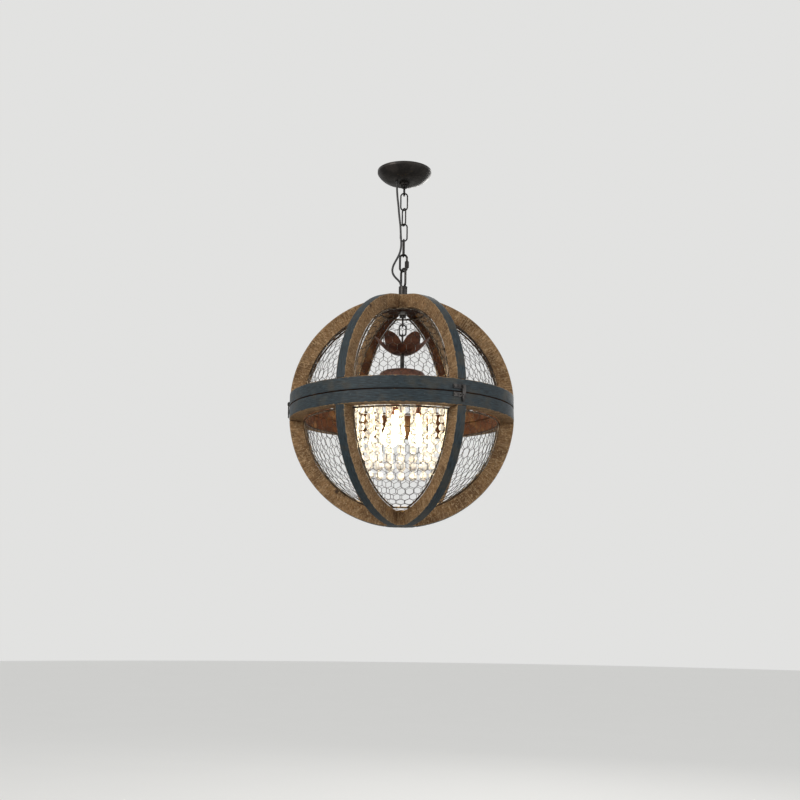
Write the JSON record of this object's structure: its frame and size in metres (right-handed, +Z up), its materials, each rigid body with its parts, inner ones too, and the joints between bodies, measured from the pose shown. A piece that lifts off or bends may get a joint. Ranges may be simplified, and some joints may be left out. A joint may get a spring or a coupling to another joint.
{
  "type": "orb chandelier",
  "caption": "Wooden cage orb chandelier: two half shells of hoops and curved ribs lined with wire mesh, swing clasps, chain, canopy and an inner crystal light fixture.",
  "frame": {"origin": "centre of the ceiling plane, on the crossbar's top face, between its two slots", "axes": "+Z up, out of the ceiling face; -Y is the front, with one clasp at the front right; +X is to the right seen from the front"},
  "size_m": [0.5136, 0.508, 0.8391],
  "materials": {
    "weathered_wood": "band-sawn, weathered blue-grey paint on the outer faces",
    "dark_wire": "dark bronze, satin",
    "rusty_metal": "dark rust brown, matt",
    "crystal": "clear, faceted",
    "bulb_glass": "clear, lit warm white",
    "cord_jacket": "matt",
    "black_plastic": "matt",
    "zinc_steel": "zinc plated",
    "black_metal": "dark bronze, satin"
  },
  "bodies": {
    "ceiling": {"crossbar": "zinc_steel", "crossbar_nut": "zinc_steel", "canopy_nipple": "zinc_steel", "canopy": "black_metal", "canopy_collar": "black_metal", "canopy_loop": "black_metal", "canopy_bushing": "black_plastic", "power_cord": "cord_jacket"},
    "link_4": {"chain_link_4": "black_metal"},
    "link_3": {"chain_link_3": "black_metal"},
    "link_2": {"chain_link_2": "black_metal"},
    "link_1": {"chain_link_1": "black_metal"},
    "quick_link": {"quick_link": "black_metal"},
    "link_sleeve": {"quick_link_sleeve": "black_metal"},
    "orb": {"hanging_loop": "black_metal", "cord_gland": "black_plastic", "top_washer": "black_metal", "hub_tube": "zinc_steel", "hub_nut": "zinc_steel", "inner_loop": "black_metal", "clasp_plates": "black_metal", "clasp_screws_upper": "black_metal", "upper_rib_1": "weathered_wood", "upper_rib_2": "weathered_wood", "upper_rib_3": "weathered_wood", "upper_rib_4": "weathered_wood", "upper_rib_5": "weathered_wood", "upper_rib_6": "weathered_wood", "upper_hoop": "weathered_wood", "upper_hub": "weathered_wood", "upper_border_rods": "dark_wire", "upper_nails": "black_metal", "upper_mesh": "dark_wire"},
    "clasp_arm_1": {"clasp_arm_1": "black_metal"},
    "clasp_arm_2": {"clasp_arm_2": "black_metal"},
    "clasp_arm_3": {"clasp_arm_3": "black_metal"},
    "lower_half": {"clasp_catches": "black_metal", "clasp_screws_lower": "black_metal", "lower_rib_1": "weathered_wood", "lower_rib_2": "weathered_wood", "lower_rib_3": "weathered_wood", "lower_rib_4": "weathered_wood", "lower_rib_5": "weathered_wood", "lower_rib_6": "weathered_wood", "lower_hoop": "weathered_wood", "lower_hub": "weathered_wood", "lower_border_rods": "dark_wire", "lower_nails": "black_metal", "lower_mesh": "dark_wire"},
    "inner_link": {"inner_link": "black_metal"},
    "lamp": {"fixture_loop": "black_metal", "petal_dish": "rusty_metal", "stem": "black_metal", "body_disc": "rusty_metal", "crystal_ring": "black_metal", "candle_sleeves": "rusty_metal", "lamp_sockets": "black_plastic", "bulbs": "bulb_glass", "outer_strands": "crystal", "inner_strands": "crystal"}
  },
  "joints": [
    {"name": "link_4_swing", "type": "hinge", "parent": "ceiling", "child": "link_4", "pos_m": [0, 0, -0.0595], "axis": [0, 1, 0], "range_deg": [-15, 15], "deforming": ["power_cord"]},
    {"name": "link_3_swing", "type": "hinge", "parent": "link_4", "child": "link_3", "pos_m": [0, 0, -0.09675], "axis": [1, 0, 0], "range_deg": [-15, 15]},
    {"name": "link_2_swing", "type": "hinge", "parent": "link_3", "child": "link_2", "pos_m": [0, 0, -0.13475], "axis": [0.5, -0.866, 0], "range_deg": [-15, 15]},
    {"name": "link_1_swing", "type": "hinge", "parent": "link_2", "child": "link_1", "pos_m": [0, 0, -0.17275], "axis": [1, 0, 0], "range_deg": [-15, 15]},
    {"name": "quick_link_swing", "type": "hinge", "parent": "link_1", "child": "quick_link", "pos_m": [0, 0, -0.21075], "axis": [0.1736, -0.9848, 0], "range_deg": [-15, 15]},
    {"name": "orb_swing", "type": "hinge", "parent": "quick_link", "child": "orb", "pos_m": [0, 0, -0.2462], "axis": [1, 0, 0], "range_deg": [-8, 8]},
    {"name": "sleeve_slide", "type": "slide", "parent": "quick_link", "child": "link_sleeve", "axis": [0, 0, 1], "range_m": [0, 0.0075]},
    {"name": "inner_link_swing", "type": "hinge", "parent": "orb", "child": "inner_link", "pos_m": [0, 0, -0.37858], "axis": [0, 1, 0], "range_deg": [-4, 4]},
    {"name": "lamp_swing", "type": "hinge", "parent": "inner_link", "child": "lamp", "pos_m": [0, 0, -0.40103], "axis": [1, 0, 0], "range_deg": [-4, 4]},
    {"name": "clasp_1_turn", "type": "hinge", "parent": "orb", "child": "clasp_arm_1", "pos_m": [0.1311, -0.22107, -0.5644], "axis": [0.5, -0.866, 0], "range_deg": [-7, 80]},
    {"name": "clasp_2_turn", "type": "hinge", "parent": "orb", "child": "clasp_arm_2", "pos_m": [0.1259, 0.22407, -0.5644], "axis": [0.5, 0.866, 0], "range_deg": [-7, 80]},
    {"name": "clasp_3_turn", "type": "hinge", "parent": "orb", "child": "clasp_arm_3", "pos_m": [-0.257, -0.003, -0.5644], "axis": [-1, 0, 0], "range_deg": [-7, 80]},
    {"name": "lower_half_drop", "type": "slide", "parent": "orb", "child": "lower_half", "axis": [0, 0, -1], "range_m": [0, 0.2]}
  ]
}
